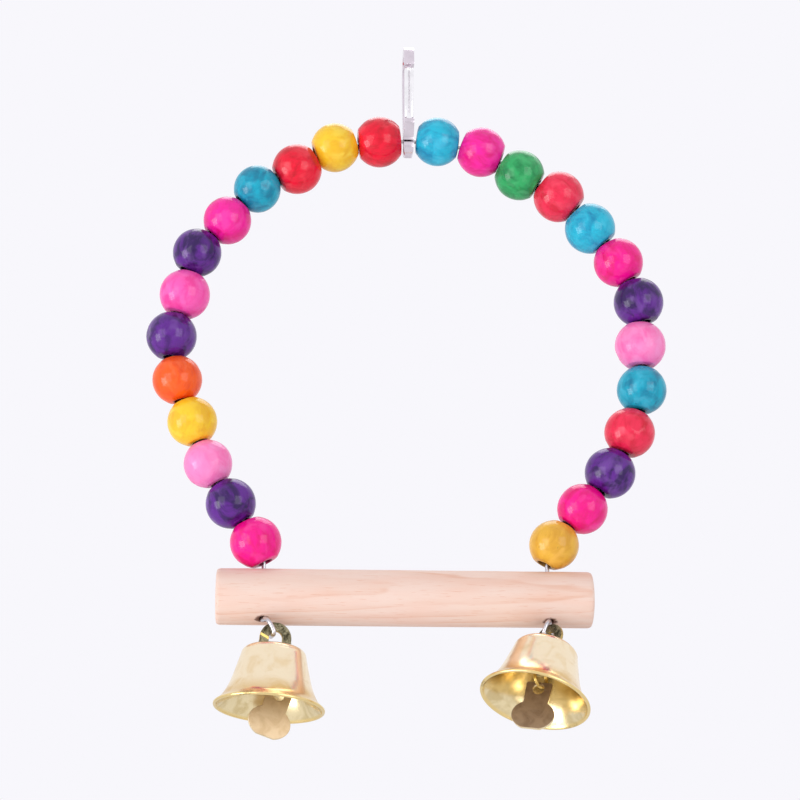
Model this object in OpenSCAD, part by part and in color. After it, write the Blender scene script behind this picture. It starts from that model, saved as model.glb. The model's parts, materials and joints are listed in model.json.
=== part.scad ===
// Bird swing: an arch of wooden beads on a steel wire, a wooden perch, two bells and a snap hook.
// Millimetres, +Z up. The origin is the centre of the hook's top bend, where a cage bar lies.
// X runs along the perch, and -Y is the front, the side that the gate of the hook faces.

/* [Snap hook] */
// Thickness of the stamped hook, and of all that lies inside its outline
hook_t = 3; // [2.8:0.1:4]
// Width of the hook's bar in its own plane
hook_bar = 2.8; // [2.4:0.1:3.4]
// Radius of the hook's inner top bend, which a cage bar rests in
hook_bend_r = 3.9; // [3.4:0.1:6]
// Height from the centre of the top bend down to the wire that the swing hangs on
hook_drop = 23.8; // [23:0.2:36]
// Height from the centre of the top bend down to the gate's pivot
gate_drop = 19.9; // [18:0.1:20.1]
// Diameter of the two wires of the sprung gate
gate_wire_d = 1.35; // [1.1:0.05:1.4]

/* [Arch wire] */
// Diameter of the steel wire
wire_d = 1.2; // [1:0.05:1.6]
// Half of the bare stretch at the top, where the hook sits
top_run = 2; // [2:0.1:4]

/* [Beads] */
// Diameter of a bead across its hole
bead_d = 14.7; // [13:0.1:15.5]
// Length of a bead along its hole
bead_len = 12.3; // [11.5:0.1:12.4]
// Bore of a bead
bead_bore = 4; // [3.6:0.1:4.6]
// Spacing of the beads down the left side
left_pitch = 13.35; // [13.35:0.05:15]
// Spacing of the beads down the right side
right_pitch = 13.5; // [13.4:0.05:15]

/* [Perch] */
// Length of the wooden perch
perch_len = 105.6; // [96:0.2:140]
// Diameter of the perch
perch_d = 15.8; // [14:0.2:18]
// Diameter of the slanted holes for the wire's two legs
perch_hole_d = 2.2; // [2:0.1:3]
// Chamfer round the perch's ends
perch_chamfer = 0.6; // [0.2:0.1:1.2]

/* [Bells] */
// Diameter of a bell's mouth
bell_mouth_d = 30.4; // [28:0.2:34]
// Diameter of the flat top of a bell
bell_crown_d = 18; // [17:0.2:19]
// Height of a bell without its bail
bell_h = 17; // [16:0.2:20]
// Thickness of the pressed brass
bell_wall = 0.6; // [0.5:0.05:0.8]
// Radius of the round opening in the flat bail on top of a bell
bail_r = 1.9; // [1.7:0.1:2.1]
// Width of the plate round that opening
bail_band = 2.5; // [2:0.1:2.8]
// Thickness of the bail's plate
bail_t = 1.1; // [0.8:0.05:1.3]
// Height of the middle of the bail's opening above the bell
bail_rise = 3; // [2.4:0.1:3.4]
// Width of the clapper's lobe
clapper_d = 11.8; // [10:0.2:12.2]
// Height of the clapper's lobe
clapper_lobe = 9; // [7.6:0.2:10]
// Thickness of the clapper's plate
clapper_t = 0.9; // [0.7:0.05:1.2]
// Length of a clapper from its hole to its lower edge
clapper_len = 12.4; // [12:0.2:13.6]

/* [Hidden] */
bead_count = 13;
left_names = [for (i = [1:bead_count]) str("bead_left_", i)];
right_names = [for (i = [1:bead_count]) str("bead_right_", i)];
bell_names = [
    "bell_left", "bail_left", "ring_left", "clapper_left",
    "bell_right", "bail_right", "ring_right", "clapper_right"
];
$fn = 48;
cut = 0.5; // overrun of every cut past the face that it opens

// Headings of the wire at each joint between beads, in degrees below level, from the hook outwards
left_heading = [0, 13, 26, 36, 45, 56, 69, 81, 96, 108, 115, 121, 128, 103];
right_heading = [0, 13, 27, 36, 44, 54, 68, 85, 96, 106, 117, 126, 133, 101];
// Sizes of the beads, as shares of bead_d, from the hook outwards
left_size_share = [1.04, 1, 1.02, 0.96, 0.97, 0.98, 1.01, 1, 0.98, 0.98, 0.95, 0.98, 1];
right_size_share = [1, 1.02, 1.03, 1.04, 1.03, 1, 1.01, 1.02, 0.99, 1, 1, 0.99, 0.97];
// How far each bead sits off the wire, outwards, as a share of its free room on the wire
left_rest_share = [0, 0.9, -0.7, 0.6, -0.4, 0.9, -0.8, 0.6, -0.2, -0.8, -0.1, 0, 0.3];
right_rest_share = [0.5, 0.5, -0.8, 0.4, -0.3, 0.1, 0.8, -0.6, 0.6, 0.4, 0.4, 0, -0.2];
left_color = [
    "crimson", "gold", "crimson", "darkcyan", "mediumvioletred", "indigo", "hotpink", "indigo",
    "orangered", "gold", "hotpink", "indigo", "deeppink"
];
right_color = [
    "deepskyblue", "mediumvioletred", "seagreen", "crimson", "deepskyblue", "deeppink", "indigo",
    "hotpink", "darkcyan", "crimson", "indigo", "deeppink", "goldenrod"
];

// Length of the chord of an arc s long that turns through t degrees
function chord(s, t) = t == 0 ? s : s * sin(t / 2) / (t / 2 * PI / 180);
// Point reached from p after an arc s long that turns from heading a to heading b
function step(p, a, b, s) =
    p + chord(s, b - a) * [cos((a + b) / 2), -sin((a + b) / 2)];
// Joint k of a side's route
function joint_at(head, s, k) =
    k == 0 ? [top_run, -hook_drop] : step(joint_at(head, s, k - 1), head[k - 1], head[k], s);
// Middle of the stretch of wire that bead k is threaded on
function middle_at(head, s, k) =
    step(joint_at(head, s, k), head[k], (head[k] + head[k + 1]) / 2, s / 2);
function middle_heading(head, k) = (head[k] + head[k + 1]) / 2;
// Free room of the wire in a bead: the bore's play less the bow of the wire within the bead
function bow(head, s, k) = s * abs(head[k + 1] - head[k]) * PI / 180 / 8;
function room(head, s, k) = max(0, (bead_bore - wire_d) / 2 - bow(head, s, k));

left_end = joint_at(left_heading, left_pitch, bead_count);
right_end = joint_at(right_heading, right_pitch, bead_count);
perch_gap = 1.4; // from the lower end of the beads' route to the perch, room for a cocked bead
perch_r = perch_d / 2;
perch_z = min(left_end[1], right_end[1]) - perch_gap - perch_r;
perch_x = (right_end[0] - left_end[0]) / 2;
hole_slant = 14; // angle of the holes: in at the top of the perch, out low on its front
hole_len = perch_d * cos(hole_slant);
exit_y = -hole_len * sin(hole_slant);
exit_z = perch_z + perch_r - hole_len * cos(hole_slant);

// The wire's hooks: how far the bell's seat lies from the hole, and how the hook is turned
left_seat = [2.8, -1.4, -4.8];
right_seat = [-0.4, -1.8, -4.2];
left_yaw = 12;
right_yaw = -48;
hook_tip = 2; // height of the hook's upturned tip
hook_run = 0.3; // straight run of the wire out of the perch before it bends forwards
knee_rise = 0.6; // the bend in front of the bail: above the hole's lower end
knee_reach = 0.8; // and forwards of the hook's front leg
knee_share = 0.58; // its place between that leg and the hole, from side to side
knee_steps = 6;
hook_slack = 1.3; // between the bail's faces and each leg of the wire's hook
hook_half = bail_t / 2 + wire_d / 2 + hook_slack;
seat_gap = 0.1; // between the bail and the wire that it hangs on

// The bells as they hang: leaning forwards and sideways, where the wire lies in the bail, and how
// far the ring and the clapper are swung to the side
left_lean = [-7, 4];
right_lean = [-19, 16];
left_seat_angle = 60;
right_seat_angle = 0;
left_ring_tilt = -30;
left_plate_tilt = 14;
right_ring_tilt = -6;
right_plate_tilt = 0;
left_plate_turn = 0; // how far the clapper is turned on its ring, away from the bail's own plane
right_plate_turn = 26;

module rod(p, q, d) {
    v = q - p;
    translate(p)
        rotate([0, acos(v[2] / norm(v)), atan2(v[1], v[0])])
            cylinder(d = d, h = norm(v));
}

// A round tube along a path, its rings carried from one point to the next without twist
function unit(v) = v / norm(v);
function along(p, i) =
    i == 0 ? unit(p[1] - p[0])
    : i == len(p) - 1 ? unit(p[i] - p[i - 1])
    : unit(unit(p[i + 1] - p[i]) + unit(p[i] - p[i - 1]));
function normals(p, i, n) =
    i == len(p) ? []
    : let (t = along(p, i), m = unit(n - (n * t) * t)) concat([m], normals(p, i + 1, m));

module tube(p, d, sides) {
    n = normals(p, 0, [0, 1, 0]);
    last = (len(p) - 1) * sides;
    polyhedron(
        points = [
            for (i = [0:len(p) - 1], j = [0:sides - 1])
                let (a = 360 * j / sides)
                    p[i] + d / 2 * (cos(a) * n[i] + sin(a) * cross(along(p, i), n[i]))
        ],
        faces = concat(
            [[for (j = [0:sides - 1]) j]],
            [
                for (i = [0:len(p) - 2], j = [0:sides - 1])
                    let (a = i * sides + j, b = i * sides + (j + 1) % sides)
                        [a, a + sides, b + sides, b]
            ],
            [[for (j = [sides - 1:-1:0]) last + j]]
        )
    );
}

// The beads' side of the wire, outwards from the hook, to +X
bow_steps = 3; // straight steps that draw the bow of the wire within one bead
function side_path(head, s) = [
    for (k = [0:bead_count - 1], i = [0:bow_steps - 1])
        let (
            f = i / bow_steps,
            q = step(joint_at(head, s, k), head[k], head[k] + f * (head[k + 1] - head[k]), f * s)
        )
            [q[0], 0, q[1]]
];

// A leg: down to the perch, slanting through it, and on into the hook that carries a bell
hook_corner = 1; // radius of the bends of the wire's hooks
corner_steps = 3;
wire_sides = 10;
function curve(a, k, b, n) = [
    for (i = [0:n]) let (t = i / n) (1 - t) * (1 - t) * a + 2 * t * (1 - t) * k + t * t * b
];
function leg_path(x, z, seat, yaw) =
    let (
        back = [-sin(yaw), cos(yaw), 0],
        up = [0, 0, 1],
        out = [x, exit_y, exit_z],
        slant = [0, -sin(hole_slant), -cos(hole_slant)],
        low = out + seat + hook_corner * up,
        reach = hook_half - hook_corner,
        front = low - hook_half * back,
        knee = [
            front[0] + knee_share * (x - front[0]), front[1] - knee_reach, exit_z + knee_rise
        ]
    )
        concat(
            [[x, 0, z], [x, 0, perch_z + perch_r]],
            curve(out + hook_run * slant, knee, front, knee_steps),
            [
                for (i = [1:corner_steps])
                    let (a = 90 * i / corner_steps)
                        low - reach * back - hook_corner * (cos(a) * back + sin(a) * up)
            ],
            [
                for (i = [0:corner_steps])
                    let (a = 90 * i / corner_steps)
                        low + reach * back + hook_corner * (sin(a) * back - cos(a) * up)
            ],
            [out + seat + hook_half * back + hook_tip * up]
        );
function reversed(p) = [for (i = [len(p) - 1:-1:0]) p[i]];
function mirrored(p) = [for (q = p) [-q[0], q[1], q[2]]];

module arch_wire() {
    left = concat(
        mirrored(side_path(left_heading, left_pitch)),
        leg_path(-left_end[0], left_end[1], left_seat, left_yaw)
    );
    right = concat(
        side_path(right_heading, right_pitch),
        leg_path(right_end[0], right_end[1], right_seat, right_yaw)
    );
    color("silver") tube(concat(reversed(left), right), wire_d, wire_sides);
}

// A bead on a side's route: side is 1 on the right and -1 on the left
module bead(head, s, k, side, size, rest, tint) {
    d = bead_d * size[k];
    off = rest[k] * room(head, s, k);
    a = middle_heading(head, k);
    p = middle_at(head, s, k) + off * [sin(a), cos(a)];
    color(tint)
        translate([side * p[0], 0, p[1]])
            rotate([0, side * (90 + a), 0])
                rotate_extrude()
                    intersection() {
                        circle(d = d);
                        translate([bead_bore / 2, -bead_len / 2]) square([d, bead_len]);
                    }
}

module perch() {
    color("wheat")
        difference() {
            translate([perch_x - perch_len / 2, 0, perch_z])
                rotate([0, 90, 0])
                    rotate_extrude()
                        polygon([
                            [0, 0],
                            [perch_r - perch_chamfer, 0],
                            [perch_r, perch_chamfer],
                            [perch_r, perch_len - perch_chamfer],
                            [perch_r - perch_chamfer, perch_len],
                            [0, perch_len]
                        ]);
            for (x = [-left_end[0], right_end[0]])
                translate([x, 0, perch_z + perch_r])
                    rotate([-hole_slant, 0, 0])
                        translate([0, 0, -hole_len - perch_hole_d])
                            cylinder(d = perch_hole_d, h = hole_len + 2 * perch_hole_d);
        }
}

// The hook's own sketch has the hook's depth across and its height up
hook_r = hook_bend_r + hook_bar;
gate_y = -hook_bend_r - hook_bar / 2;
eye_play = 0.5; // between the swing's wire and the roof of the hook's eye
eye_gap = 0.05; // between the wire and the floor of the eye that it rests on
eye_r = (wire_d + eye_play) / 2 + eye_gap;
eye_z = -hook_drop + eye_play / 2;
eye_wall = 2.8; // metal round the wire in the eye
eye_boss_r = eye_wall + wire_d / 2;
foot_drop = 1.7; // from the wire down to the middle of the hook's round foot
foot_z = -hook_drop - foot_drop;
slit = 0.7; // the gap in front of the eye, too narrow for the wire
slit_angle = 24;
nose = 1.2; // length of the straight nose under the top bend
knuckle_r = hook_bar / 2;
cheek = 0.6; // thickness of the two cheeks beside the gate's barrel
barrel_r = 0.95; // radius of the gate's barrel, which the front of the hook covers
play = 0.15; // running clearance of the gate
barrel_len = hook_t - 2 * (cheek + play);
rivet_d = 1;
gate_tip_gap = 0.3;
gate_z = -gate_drop;
gate_top = -nose - gate_tip_gap;
gate_rail = (hook_t - gate_wire_d) / 2 - play / 2;

// A straight bar with round ends
module bar(p, q, w) {
    v = q - p;
    translate(p) rotate(atan2(v[1], v[0])) translate([0, -w / 2]) square([norm(v), w]);
    for (e = [p, q]) translate(e) circle(d = w);
}

module hook_outline() {
    difference() {
        union() {
            difference() {
                circle(r = hook_r);
                circle(r = hook_bend_r);
                translate([-hook_r - cut, -hook_r - cut])
                    square([2 * (hook_r + cut), hook_r + cut]);
            }
            translate([-hook_r, -nose]) square([hook_bar, nose]);
            translate([hook_bend_r, -hook_bend_r]) square([hook_bar, hook_bend_r]);
            bar([-gate_y, -hook_bend_r], [eye_wall / 2, foot_z], hook_bar);
            bar([gate_y, gate_z], [-eye_wall / 2, -hook_drop], hook_bar);
            translate([0, foot_z]) circle(r = eye_boss_r);
            translate([0, eye_z]) circle(r = eye_boss_r);
        }
        translate([0, eye_z]) circle(r = eye_r);
        translate([0, eye_z])
            rotate(180 + slit_angle)
                translate([0, -slit / 2])
                    square([hook_r, slit]);
    }
}

module in_hook_plane(t) {
    translate([-t / 2, 0, 0]) rotate([90, 0, 90]) linear_extrude(t) children();
}

module hook_body() {
    color("silver")
        difference() {
            in_hook_plane(hook_t) hook_outline();
            translate([-hook_t / 2 + cheek, gate_y, gate_z])
                rotate([0, 90, 0])
                    cylinder(r = barrel_r + play, h = hook_t - 2 * cheek);
            translate([-hook_t / 2 + cheek, gate_y - barrel_r - play, gate_z])
                cube([hook_t - 2 * cheek, barrel_r + play + knuckle_r + cut, knuckle_r + cut]);
            translate([-hook_t / 2 - cut, gate_y, gate_z])
                rotate([0, 90, 0])
                    cylinder(d = rivet_d, h = hook_t + 2 * cut);
        }
}

module gate_rivet() {
    color("gainsboro")
        translate([-hook_t / 2, gate_y, gate_z])
            rotate([0, 90, 0])
                cylinder(d = rivet_d, h = hook_t);
}

module hook_gate() {
    rail_z = gate_z + knuckle_r + play;
    bend = gate_top - gate_wire_d / 2 - gate_rail;
    color("whitesmoke")
        difference() {
            union() {
                translate([-barrel_len / 2, gate_y, gate_z])
                    rotate([0, 90, 0])
                        cylinder(r = barrel_r, h = barrel_len);
                translate([-barrel_len / 2, gate_y - gate_wire_d / 2, gate_z])
                    cube([barrel_len, gate_wire_d, rail_z - gate_z + gate_wire_d]);
                for (x = [-gate_rail, gate_rail])
                    rod([x, gate_y, rail_z], [x, gate_y, bend], gate_wire_d);
                translate([0, gate_y, bend])
                    rotate([90, 0, 0])
                        rotate_extrude(angle = 180)
                            translate([gate_rail, 0])
                                circle(d = gate_wire_d);
            }
            translate([-barrel_len / 2 - cut, gate_y, gate_z])
                rotate([0, 90, 0])
                    cylinder(d = rivet_d + play, h = barrel_len + 2 * cut);
        }
}

// A bell's own frame has its origin at the middle of the bail's opening, and its mouth down
module at_bell(x, seat, yaw, lean, seat_angle) {
    tilt = norm(lean);
    r = bail_r - (wire_d / 2 + bail_t / 2 * sin(tilt)) / cos(tilt) - seat_gap;
    translate([x, exit_y, exit_z] + seat)
        rotate([lean[0], lean[1], 0])
            rotate([0, 0, yaw])
                translate([r * sin(seat_angle), 0, -r * cos(seat_angle)])
                    children();
}
module at_left() {
    at_bell(-left_end[0], left_seat, left_yaw, left_lean, left_seat_angle) children();
}
module at_right() {
    at_bell(right_end[0], right_seat, right_yaw, right_lean, right_seat_angle) children();
}

lip_r = 0.45; // radius of the rolled edge round the mouth
crown_r = bell_crown_d / 2;
mouth_r = bell_mouth_d / 2 - lip_r;
shoulder_r = 2.4;
// The bell's outline as shares of its size: radius between crown and mouth, depth of its height
bell_radius_share = [0, 0.22, 0.38, 0.55, 0.77, 1];
bell_depth_share = [0.13, 0.42, 0.6, 0.74, 0.87, 0.97];
shoulder_steps = 6;

function bell_outline(wall) = concat(
    [[0, -wall]],
    [for (i = [0:shoulder_steps])
        let (a = 90 - 90 * i / shoulder_steps)
            [crown_r - shoulder_r + (shoulder_r - wall) * cos(a),
                -shoulder_r + (shoulder_r - wall) * sin(a)]],
    [for (i = [1:len(bell_radius_share) - 1])
        [crown_r + (mouth_r - crown_r) * bell_radius_share[i] - wall, -bell_h * bell_depth_share[i]]]
);
outer = bell_outline(0);
inner = bell_outline(bell_wall);

// The bail is one flat stamped link: a round plate on shoulders outside, a narrow loop inside
bail_flare = 0.9; // spread of the shoulders at the bell
flare_share = 0.4; // height at which the spread starts, as a share of bail_rise
foot_band = 1.2; // width of the plate inside the bell
bail_foot = 5.4; // straight part of the loop inside the bell
slot_gap = 0.1; // round the bail's legs where they pass through the bell's top
foot_r = bail_r + foot_band;
loop_z = -bail_rise - bell_wall - bail_foot;
module bell_shell() {
    color("burlywood")
        difference() {
            translate([0, 0, -bail_rise])
                union() {
                    rotate_extrude() polygon(concat(outer, [for (i = [len(inner) - 1:-1:0]) inner[i]]));
                    translate([0, 0, -bell_h + lip_r])
                        rotate_extrude()
                            translate([mouth_r, 0])
                                circle(r = lip_r);
                }
            for (x = [-foot_r, bail_r])
                translate([x - slot_gap, -bail_t / 2 - slot_gap, -bail_rise - bell_wall - cut])
                    cube([foot_band + 2 * slot_gap, bail_t + 2 * slot_gap, bell_wall + 2 * cut]);
        }
}

module bail() {
    r = bail_r + bail_band;
    waist_z = -bail_rise * flare_share;
    color("darkkhaki")
        rotate([90, 0, 0])
            translate([0, 0, -bail_t / 2])
                linear_extrude(bail_t)
                    difference() {
                        union() {
                            circle(r = r);
                            polygon([
                                [-r, 0],
                                [-r, waist_z],
                                [-r - bail_flare, -bail_rise],
                                [r + bail_flare, -bail_rise],
                                [r, waist_z],
                                [r, 0]
                            ]);
                            translate([-foot_r, loop_z]) square([2 * foot_r, -loop_z]);
                            translate([0, loop_z]) circle(r = foot_r);
                        }
                        circle(r = bail_r);
                        translate([-bail_r, loop_z]) square([2 * bail_r, -loop_z]);
                        translate([0, loop_z]) circle(r = bail_r);
                    }
}

// A wire ring hangs in the foot of the bail, resting on the edges of the plate, and the flat
// clapper hangs on the ring, a little turned on it. They swing together about the top of the ring.
ring_d = 0.9;
ring_r = 2.6;
bail_floor = loop_z - bail_r;
ring_z = bail_floor + seat_gap - sqrt(pow(ring_r - ring_d / 2, 2) - pow(bail_t / 2, 2));
swing_z = ring_z + ring_r;
module turned_at(z, angle) {
    translate([0, 0, z]) rotate([0, angle, 0]) translate([0, 0, -z]) children();
}

module ring() {
    color("gold")
        translate([0, 0, ring_z])
            rotate([0, 90, 0])
                rotate_extrude()
                    translate([ring_r, 0])
                        circle(d = ring_d);
}

clapper_neck = 5.4; // width of the clapper where its neck meets the lobe
clapper_top = 7.4; // width of its upper edge
clapper_rim = 0.5; // from the hole to the upper edge
clapper_hole_r = 1.6;
hang_z = ring_z - ring_r; // middle of the ring's wire where the clapper hangs
clapper_eye = hang_z - (clapper_hole_r - ring_d / 2 - seat_gap);
lobe_steps = 40;
module clapper() {
    drop = clapper_len - clapper_lobe / 2;
    top = clapper_hole_r + clapper_rim;
    color("tan")
        translate([0, clapper_t / 2, clapper_eye])
            rotate([90, 0, 0])
                linear_extrude(clapper_t)
                    difference() {
                        union() {
                            polygon([
                                for (i = [0:lobe_steps - 1])
                                    let (a = 360 * i / lobe_steps)
                                        [clapper_d / 2 * cos(a), clapper_lobe / 2 * sin(a) - drop]
                            ]);
                            polygon([
                                [-clapper_top / 2, top],
                                [-clapper_neck / 2, -drop],
                                [clapper_neck / 2, -drop],
                                [clapper_top / 2, top]
                            ]);
                        }
                        circle(r = clapper_hole_r);
                    }
}

// The clapper follows its ring, and turns on the ring's wire by the rest of its own tilt
module hung(ring_tilt, plate_tilt, turn) {
    turned_at(swing_z, ring_tilt)
        turned_at(hang_z, plate_tilt - ring_tilt)
            rotate([0, 0, turn])
                clapper();
}
module left_clapper() { hung(left_ring_tilt, left_plate_tilt, left_plate_turn); }
module right_clapper() { hung(right_ring_tilt, right_plate_tilt, right_plate_turn); }

hook_body();
hook_gate();
gate_rivet();
arch_wire();
perch();
at_left() bell_shell();  // bell_left
at_left() bail();  // bail_left
at_left() turned_at(swing_z, left_ring_tilt) ring();  // ring_left
at_left() left_clapper();  // clapper_left
at_right() bell_shell();  // bell_right
at_right() bail();  // bail_right
at_right() turned_at(swing_z, right_ring_tilt) ring();  // ring_right
at_right() right_clapper();  // clapper_right
for (i = [0:bead_count - 1])
    bead(left_heading, left_pitch, i, -1, left_size_share, left_rest_share, left_color[i]);
for (i = [0:bead_count - 1])
    bead(right_heading, right_pitch, i, 1, right_size_share, right_rest_share, right_color[i]);
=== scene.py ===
import json
import math

import bmesh
import bpy
from mathutils import Matrix, Vector, noise


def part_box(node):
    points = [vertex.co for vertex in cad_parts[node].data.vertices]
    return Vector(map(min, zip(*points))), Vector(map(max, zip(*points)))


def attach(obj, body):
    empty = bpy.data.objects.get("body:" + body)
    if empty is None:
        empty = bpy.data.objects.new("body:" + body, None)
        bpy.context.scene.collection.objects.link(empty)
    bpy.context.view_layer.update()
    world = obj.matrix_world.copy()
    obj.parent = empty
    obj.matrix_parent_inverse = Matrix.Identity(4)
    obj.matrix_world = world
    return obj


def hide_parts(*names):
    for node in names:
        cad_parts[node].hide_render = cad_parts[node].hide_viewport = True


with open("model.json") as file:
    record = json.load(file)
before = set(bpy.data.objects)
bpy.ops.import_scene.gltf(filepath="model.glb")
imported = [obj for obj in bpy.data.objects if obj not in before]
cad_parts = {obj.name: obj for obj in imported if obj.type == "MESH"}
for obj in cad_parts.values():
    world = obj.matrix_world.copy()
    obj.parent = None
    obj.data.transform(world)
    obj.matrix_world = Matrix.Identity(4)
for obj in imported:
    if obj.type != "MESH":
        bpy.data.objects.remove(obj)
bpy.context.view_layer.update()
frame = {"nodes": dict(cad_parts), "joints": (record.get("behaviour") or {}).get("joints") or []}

# The swing is drawn in millimetres in its own frame and scaled to metres as each mesh is made.
mm = 0.001
joints = {joint["name"]: joint for joint in frame["joints"]}


def jointPlace(name):
    return Vector(joints[name]["pos_m"]) / mm


def jointAxis(name):
    return Vector(joints[name]["axis"]).normalized()


def turned(degrees, axis):
    return Matrix.Rotation(math.radians(degrees), 4, axis)


# Camera, lamps and backdrop

camera = {
    "aim": (-2.45, 0, -105.1),
    "azimuth": -3,
    "elevation": -17,
    "distance": 547.8,
    "lens": 85.5,
    "sensor": 36,
    "clipStart": 0.01,
}


def around(centre, azimuth, elevation, distance):
    a = math.radians(azimuth)
    e = math.radians(elevation)
    way = Vector((math.sin(a) * math.cos(e), -math.cos(a) * math.cos(e), math.sin(e)))
    return Vector(centre) + distance * way


def pointAt(thing, place, aim):
    thing.location = place * mm
    thing.rotation_mode = "QUATERNION"
    thing.rotation_quaternion = (Vector(aim) - place).to_track_quat("-Z", "Y")


def makeCamera():
    eye = bpy.data.objects.new("camera", bpy.data.cameras.new("camera"))
    bpy.context.collection.objects.link(eye)
    eye.data.lens = camera["lens"]
    eye.data.sensor_width = camera["sensor"]
    eye.data.clip_start = camera["clipStart"]
    place = around(camera["aim"], camera["azimuth"], camera["elevation"], camera["distance"])
    pointAt(eye, place, camera["aim"])
    bpy.context.scene.camera = eye


bpy.context.scene.view_settings.view_transform = "Standard"
makeCamera()
print("camera placed")


# Shading: a socket that takes part in sums, and a material made of nodes

class Signal:
    def __init__(self, finish, link):
        self.finish = finish
        self.link = link

    def maths(self, operation, first, second):
        return self.finish.add("ShaderNodeMath", {"operation": operation}, {0: first, 1: second})

    def __add__(self, other):
        return self.maths("ADD", self, other)

    def __radd__(self, other):
        return self.maths("ADD", other, self)

    def __sub__(self, other):
        return self.maths("SUBTRACT", self, other)

    def __rsub__(self, other):
        return self.maths("SUBTRACT", other, self)

    def __mul__(self, other):
        return self.maths("MULTIPLY", self, other)

    def __rmul__(self, other):
        return self.maths("MULTIPLY", other, self)

    def __truediv__(self, other):
        return self.maths("DIVIDE", self, other)

    def __rtruediv__(self, other):
        return self.maths("DIVIDE", other, self)

    def __pow__(self, other):
        return self.maths("POWER", self, other)

    def __rpow__(self, other):
        return self.maths("POWER", other, self)

    def limit(self):
        return self.finish.add("ShaderNodeClamp", {}, {0: self})

    def size(self):
        return (self * self) ** 0.5

    def rise(self, low, high):
        # From 0 to 1 as the value goes from low to high
        settings = {"interpolation_type": "SMOOTHSTEP"}
        return self.finish.add("ShaderNodeMapRange", settings, {0: self, 1: low, 2: high, 3: 0.0, 4: 1.0})


class Finish:
    def __init__(self, name, tree=None):
        if tree is None:
            self.material = bpy.data.materials.new(name)
            self.material.use_nodes = True
            tree = self.material.node_tree
        self.tree = tree
        self.tree.nodes.clear()

    def add(self, kind, settings=None, values=None, output=0):
        node = self.tree.nodes.new(kind)
        for key, value in (settings or {}).items():
            setattr(node, key, value)
        for key, value in (values or {}).items():
            if isinstance(value, Signal):
                self.tree.links.new(value.link, node.inputs[key])
            else:
                node.inputs[key].default_value = value
        return Signal(self, node.outputs[output] if node.outputs else None)

    def place(self):
        # Where a point lies on its own piece, in millimetres
        return self.add("ShaderNodeAttribute", {"attribute_name": "place"}, {}, 1)

    def parts(self, vector):
        return [self.add("ShaderNodeSeparateXYZ", {}, {0: vector}, i) for i in range(3)]

    def stretch(self, vector, scale, shift=(0, 0, 0)):
        scaled = self.add("ShaderNodeVectorMath", {"operation": "MULTIPLY"}, {0: vector, 1: scale})
        return self.add("ShaderNodeVectorMath", {"operation": "ADD"}, {0: scaled, 1: shift})

    def cloud(self, vector, scale, detail=2.0, roughness=0.5, distortion=0.0):
        values = {"Vector": vector, "Scale": scale, "Detail": detail, "Roughness": roughness}
        values["Distortion"] = distortion
        return self.add("ShaderNodeTexNoise", {}, values)

    def tint(self, factor, first, second):
        values = {0: factor, 6: paint(first), 7: paint(second)}
        return self.add("ShaderNodeMix", {"data_type": "RGBA"}, values, 2)

    def bump(self, height, strength, distance):
        values = {"Strength": strength, "Distance": distance * mm, "Height": height}
        return self.add("ShaderNodeBump", {}, values)

    def surface(self, **values):
        named = {key.replace("_", " "): paint(value) for key, value in values.items()}
        self.add("ShaderNodeOutputMaterial", {}, {0: self.add("ShaderNodeBsdfPrincipled", {}, named)})
        return self.material


def paint(colour):
    if isinstance(colour, tuple) and len(colour) == 3:
        return (*colour, 1.0)
    return colour


def fromScreen(red, green, blue):
    # A colour as it looks on a screen, from 0 to 255, turned into light
    def light(value):
        share = value / 255
        return share / 12.92 if share <= 0.04045 else ((share + 0.055) / 1.055) ** 2.4
    return (light(red), light(green), light(blue))


stage = {
    "backdrop": fromScreen(248, 247, 252),
    "fill": 0.6,
    "floorDrop": 420,
    "floorSize": 9000,
    "floorColour": (0.86, 0.86, 0.88),
    "floorGlow": 0.55,
    "lampDistance": 900,
    "lamps": [
        {"name": "leftBox", "azimuth": -44, "elevation": -2, "size": (520, 620), "power": 1.8},
        {"name": "rightBox", "azimuth": 34, "elevation": 2, "size": (520, 620), "power": 2.0},
        {"name": "leftWindow", "azimuth": -66, "elevation": -14, "size": (380, 440), "power": 2.4},
        {"name": "lowWindow", "azimuth": 36, "elevation": -41, "size": (180, 320), "power": 1.5},
        {"name": "topBox", "azimuth": 160, "elevation": 62, "size": (700, 500), "power": 2.2},
    ],
}


def shownToEyes(room):
    # 1 for what the camera sees, straight or in metal, and 0 for the light that falls on the swing
    path = room.add("ShaderNodeLightPath")
    rays = ("Is Camera Ray", "Is Glossy Ray", "Is Transmission Ray")
    eye, glossy, through = [Signal(room, path.link.node.outputs[name]) for name in rays]
    return (eye + glossy + through).limit()


def makeRoom():
    world = bpy.data.worlds.new("room")
    bpy.context.scene.world = world
    world.use_nodes = True
    room = Finish("room", world.node_tree)
    seen = shownToEyes(room)
    fill = room.add("ShaderNodeBackground", {}, {0: paint((1, 1, 1)), 1: stage["fill"]})
    backdrop = room.add("ShaderNodeBackground", {}, {0: paint(stage["backdrop"]), 1: 1.0})
    both = room.add("ShaderNodeMixShader", {}, {0: seen, 1: fill, 2: backdrop})
    room.add("ShaderNodeOutputWorld", {}, {0: both})


def makeFloor():
    half = stage["floorSize"] / 2
    drop = camera["aim"][2] - stage["floorDrop"]
    corners = [(-half, -half, drop), (half, -half, drop), (half, half, drop), (-half, half, drop)]
    floor = rawMesh("floor", corners, [(0, 1, 2, 3)])
    ground = Finish("paleFloor")
    share = shownToEyes(ground) * stage["floorGlow"]
    matt = ground.add("ShaderNodeBsdfDiffuse", {}, {0: paint(stage["floorColour"])})
    glow = ground.add("ShaderNodeEmission", {}, {0: paint(stage["backdrop"]), 1: 1.0})
    both = ground.add("ShaderNodeMixShader", {}, {0: share, 1: matt, 2: glow})
    ground.add("ShaderNodeOutputMaterial", {}, {0: both})
    floor.data.materials.append(ground.material)


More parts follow.
